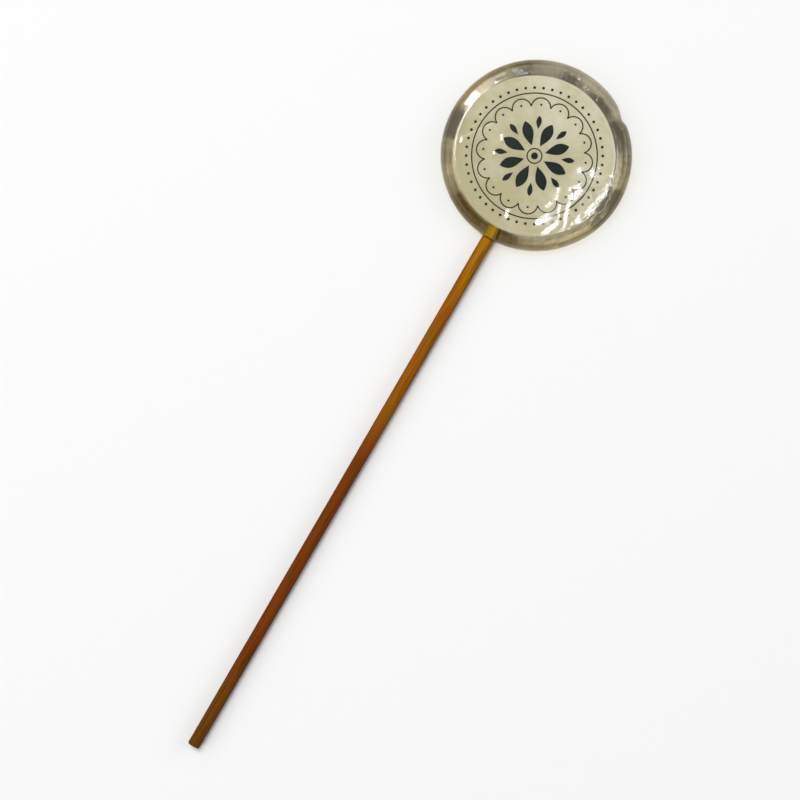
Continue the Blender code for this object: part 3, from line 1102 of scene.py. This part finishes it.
def model_paper(paper):
    """The paper: a disc of fine rings with low waves, and then its thickness."""
    sides, ring_gap, last_ring = 180, 0.6 * MM, 0.8 * MM
    place = (PAPER_MIDDLE.x, PAPER_MIDDLE.y, PAPER_HIGH.z - PAPER_DEPTH)
    sheet = start_disc("wafer_disc", sides, paper.radius, place)
    count = round((paper.radius - last_ring) / ring_gap)
    step = (paper.radius - last_ring) / count
    for _ in range(count):
        bpy.ops.mesh.inset(thickness=step, depth=0.0)
    bpy.ops.mesh.poke()
    leave_edit()
    for vert in sheet.data.vertices:
        wave = Vector((vert.co.x / WAVE_LENGTH, vert.co.y / WAVE_LENGTH, WAVE_SEED))
        vert.co.z += paper.wave * noise.noise(wave)
    apply_modifier(sheet, "SOLIDIFY", "thickness", thickness=paper.thickness, offset=-1.0)
    return finish_shape(sheet)


def petal(name, start, reach, width, middle):
    """One flat petal along +X, pointed at both ends and widest past its middle."""
    leaf = start_disc(name, PETAL_SIDES, 1.0, middle)
    bpy.ops.mesh.inset(thickness=PETAL_INSET)
    bpy.ops.mesh.inset(thickness=PETAL_INSET)
    bpy.ops.mesh.poke()
    leave_edit()
    for vert in leaf.data.vertices:
        flat = vert.co - middle
        share = min(max((flat.x + 1.0) / 2.0, 0.0), 1.0)
        half_width = 0.0
        if 0.0 < share < 1.0:
            bulge = math.sin(math.pi * share ** PETAL_LEAN) ** PETAL_FULLNESS
            half_width = width / 2.0 * bulge
        edge = math.sqrt(max(1.0 - flat.x ** 2, 1e-9))
        along, across = start + (reach - start) * share, half_width * flat.y / edge
        vert.co = middle + Vector((along, across, 0.0))
    return leaf


def spin_copies(piece, count, middle, turn=0.0):
    """Turns the piece about the middle and repeats it all the way round."""
    activate(piece)
    edit_all()
    bpy.ops.transform.rotate(value=-turn, orient_axis="Z", center_override=middle)
    bpy.ops.mesh.spin(
        steps=count,
        dupli=True,
        use_auto_merge=False,
        angle=2.0 * math.pi,
        center=middle,
        axis=(0.0, 0.0, 1.0),
    )
    leave_edit()
    return piece


def flat_ring(name, radius, width, middle, sides=200):
    """A flat ring, by the radius of its middle line."""
    ring = start_disc(name, sides, radius + width / 2.0, middle)
    bpy.ops.mesh.inset(thickness=width)
    bpy.ops.mesh.delete(type="FACE")
    leave_edit()
    return ring


def dot(name, radius, place, sides=24):
    """A flat dot."""
    spot = start_disc(name, sides, radius, place)
    bpy.ops.mesh.inset(thickness=radius * DOT_INSET)
    bpy.ops.mesh.poke()
    leave_edit()
    return spot


def scallop(sizes, middle):
    """One flat arc of the border of scallops, with its ends towards the rosette."""
    radius = sizes.scallop_reach * math.tan(math.pi / sizes.scallops)
    centre = middle + Vector((sizes.scallop_reach, 0.0, 0.0))
    bow = flat_ring("scallop", radius, sizes.line, centre, sides=48)
    edit_all()
    bpy.ops.mesh.bisect(plane_co=centre, plane_no=(1.0, 0.0, 0.0), clear_inner=True, threshold=1e-7)
    leave_edit()
    return bow


def join(name, pieces):
    """Joins pieces into one."""
    deselect_all()
    for piece in pieces:
        piece.select_set(True)
    bpy.context.view_layer.objects.active = pieces[0]
    bpy.ops.object.join()
    return name_active(name)


def lay_on(flat, sheet):
    """Drops a flat piece onto the paper, follows its waves and gives it a thin body."""
    apply_modifier(
        flat,
        "SHRINKWRAP",
        "lay",
        target=sheet,
        wrap_method="PROJECT",
        use_project_z=True,
        use_negative_direction=True,
        use_positive_direction=False,
        offset=PRINT_LIFT,
    )
    apply_modifier(flat, "SOLIDIFY", "body", thickness=PRINT_THICKNESS, offset=-1.0)
    return finish_shape(flat)


def model_rosette(sizes, middle):
    """The rosette: long petals, small drops between them, and an eye in a thin ring."""
    long_petal = petal("petal", sizes.petal_start, sizes.petal_reach, sizes.petal_width, middle)
    drop = petal("drop", sizes.drop_start, sizes.drop_reach, sizes.drop_width, middle)
    parts = [
        spin_copies(long_petal, sizes.petals, middle),
        spin_copies(drop, sizes.petals, middle, math.pi / sizes.petals),
        dot("eye", sizes.eye, middle),
        flat_ring("eye_ring", EYE_RING * sizes.eye, sizes.line, middle, sides=80),
    ]
    return join("print_rosette", parts)


def model_border(sizes, middle):
    """The border: scallops with a dot in each, a thin line and a circle of dots."""
    seed_place = middle + Vector((sizes.scallop_reach + SEED_LIFT, 0.0, 0.0))
    seed = dot("seed", SEED_SHARE * sizes.bead, seed_place, 12)
    bead = dot("bead", sizes.bead, middle + Vector((sizes.bead_reach, 0.0, 0.0)), 16)
    parts = [
        spin_copies(scallop(sizes, middle), sizes.scallops, middle),
        spin_copies(seed, sizes.scallops, middle),
        flat_ring("line", sizes.border, sizes.line, middle),
        spin_copies(bead, sizes.beads, middle),
    ]
    return join("print_border", parts)


class LOLLIPOP_OT_paper(bpy.types.Operator):
    """Models the wafer paper and the print on it"""

    bl_idname = "lollipop.add_paper"
    bl_label = "Model the printed paper"

    def execute(self, context):
        paper = context.scene.lollipop_paper
        sizes = context.scene.lollipop_print
        sheet = model_paper(paper)
        hand_in(sheet, "printed_wafer_paper", paper_material(paper), "wafer_paper")
        ink = ink_material(paper)
        middle = Vector((PAPER_MIDDLE.x, PAPER_MIDDLE.y, PAPER_HIGH.z + PRINT_START))
        rosette, border = model_rosette(sizes, middle), model_border(sizes, middle)
        for flat in (rosette, border):
            lay_on(flat, sheet)
            hand_in(flat, "printed_wafer_paper", ink)
        return {"FINISHED"}


# The stick

GROOVES = 4.5  # noise lumps from the axis to the surface
GROOVE_LENGTH = 30.0 * MM


def model_stick(stick):
    """The round stick: grown from its end in the head to its cut end, then grooved."""
    sides, stations, end_rings = 72, 60, 5
    start = Vector((0.0, STICK_HIGH.y, STICK_MIDDLE.z))
    length = STICK_HIGH.y - STICK_LOW.y
    quarter = math.pi / 2.0
    rod = start_disc("stick_wood", sides, stick.radius, start, (quarter, 0.0, 0.0))
    body = length - stick.rounding
    for _ in range(stations):
        grow((0.0, -body / stations, 0.0), (1.0, 1.0, 1.0), start)
    for i in range(end_rings):
        now, then = quarter * i / end_rings, quarter * (i + 1) / end_rings
        wide = stick.radius - stick.rounding * (1.0 - math.cos(now))
        narrow = stick.radius - stick.rounding * (1.0 - math.cos(then))
        rise = stick.rounding * (math.sin(then) - math.sin(now))
        grow((0.0, -rise, 0.0), (narrow / wide, 1.0, narrow / wide), start)
    leave_edit()
    for vert in rod.data.vertices:
        x, z = vert.co.x, vert.co.z - STICK_MIDDLE.z
        turn = math.atan2(z, x)
        around = GROOVES * math.cos(turn), GROOVES * math.sin(turn)
        fibre = noise.noise(Vector((*around, vert.co.y / GROOVE_LENGTH)))
        inward = 1.0 - stick.groove * (0.5 + 0.5 * fibre) / stick.radius
        vert.co.x = x * inward
        vert.co.z = STICK_MIDDLE.z + z * inward
    return finish_shape(rod)


class LOLLIPOP_OT_stick(bpy.types.Operator):
    """Models the wooden stick"""

    bl_idname = "lollipop.add_stick"
    bl_label = "Model the stick"

    def execute(self, context):
        stick = context.scene.lollipop_stick
        hand_in(model_stick(stick), "stained_wood", wood_material(stick), "stick")
        return {"FINISHED"}


# The stage


class Light(NamedTuple):
    """A soft light: where it stands, in degrees, its size in metres, its power and its colour."""

    name: str
    bearing: float
    elevation: float
    size: tuple
    power: float
    colour: tuple = (1.0, 1.0, 1.0)


LIGHT_DISTANCE = 2.5
LIGHTS = (
    Light("key_light", 157.0, 69.0, (0.19, 0.60), 9.4),
    Light("high_light", 162.0, 79.6, (0.70, 0.32), 15.5),
    Light("window_light", 142.0, 68.0, (0.50, 0.60), 5.0),
    Light("wall_light", 160.0, 50.0, (2.4, 2.4), 13.0),
    Light("sky_light", 108.0, 69.0, (0.80, 0.80), 1.6, (0.96, 0.9, 1.0)),
    Light("left_light", -130.0, 38.0, (1.6, 1.6), 11.5),
    Light("right_light", 40.0, 35.0, (1.6, 1.6), 11.5),
)
ROOM_COLOUR, ROOM_STRENGTH = (0.95, 0.97, 1.0), 0.25
FLOOR_SIZE, FLOOR_GAP = 4.0, 0.05 * MM
SENSOR_WIDTH, CLIP_START = 36.0, 0.01


def add_light(light):
    """Adds a light that points at the head's middle."""
    deselect_all()
    bearing, elevation = math.radians(light.bearing), math.radians(light.elevation)
    away = Vector(
        (
            math.cos(elevation) * math.cos(bearing),
            math.cos(elevation) * math.sin(bearing),
            math.sin(elevation),
        )
    )
    bpy.ops.object.light_add(type="AREA", location=away * LIGHT_DISTANCE)
    lamp = bpy.context.object
    lamp.name = light.name
    lamp.rotation_euler = away.to_track_quat("Z", "Y").to_euler()
    lamp.data.shape = "RECTANGLE"
    lamp.data.size, lamp.data.size_y = light.size
    lamp.data.energy = light.power
    lamp.data.color = light.colour


class LOLLIPOP_OT_stage(bpy.types.Operator):
    """Sets the floor, the lights, the pale surroundings and the camera"""

    bl_idname = "lollipop.add_stage"
    bl_label = "Set the stage"

    def execute(self, context):
        stage = context.scene.lollipop_stage
        deselect_all()
        floor_place = (stage.picture_x, stage.picture_y, -FLOOR_GAP)
        bpy.ops.mesh.primitive_plane_add(size=FLOOR_SIZE, location=floor_place)
        floor = bpy.context.object
        floor.name = "floor"
        floor.data.materials.append(floor_material(stage.floor))
        for light in LIGHTS:
            add_light(light)
        world = bpy.data.worlds.new("pale_room")
        world.use_nodes = True
        room = world.node_tree.nodes["Background"].inputs
        room["Color"].default_value = as_colour(ROOM_COLOUR)
        room["Strength"].default_value = ROOM_STRENGTH
        context.scene.world = world
        camera_place = (stage.picture_x, stage.picture_y, stage.distance)
        bpy.ops.object.camera_add(location=camera_place, rotation=(0.0, 0.0, stage.roll))
        camera = bpy.context.object
        camera.name = "camera"
        camera.data.sensor_width = SENSOR_WIDTH
        camera.data.lens = SENSOR_WIDTH * stage.distance / stage.picture_width
        camera.data.clip_start = CLIP_START
        context.scene.camera = camera
        context.scene.view_settings.view_transform = "Standard"
        return {"FINISHED"}


# The panel and the run


class LOLLIPOP_PT_pieces(bpy.types.Panel):
    """Lists the steps that make the lollipop"""

    bl_idname = "LOLLIPOP_PT_pieces"
    bl_label = "Lollipop"
    bl_space_type = "VIEW_3D"
    bl_region_type = "UI"
    bl_category = "Lollipop"

    def draw(self, context):
        for step in STEPS:
            self.layout.operator(step.bl_idname)


STEPS = (LOLLIPOP_OT_candy, LOLLIPOP_OT_paper, LOLLIPOP_OT_stick, LOLLIPOP_OT_stage)
CLASSES = (*SETTINGS.values(), *STEPS, LOLLIPOP_PT_pieces)


def register():
    for cls in CLASSES:
        bpy.utils.register_class(cls)
    for name, group in SETTINGS.items():
        setattr(bpy.types.Scene, name, bpy.props.PointerProperty(type=group))


def unregister():
    for name in SETTINGS:
        delattr(bpy.types.Scene, name)
    for cls in reversed(CLASSES):
        bpy.utils.unregister_class(cls)


def main():
    register()
    bpy.ops.lollipop.add_candy()
    bpy.ops.lollipop.add_paper()
    bpy.ops.lollipop.add_stick()
    bpy.ops.lollipop.add_stage()


if __name__ == "__main__":
    main()
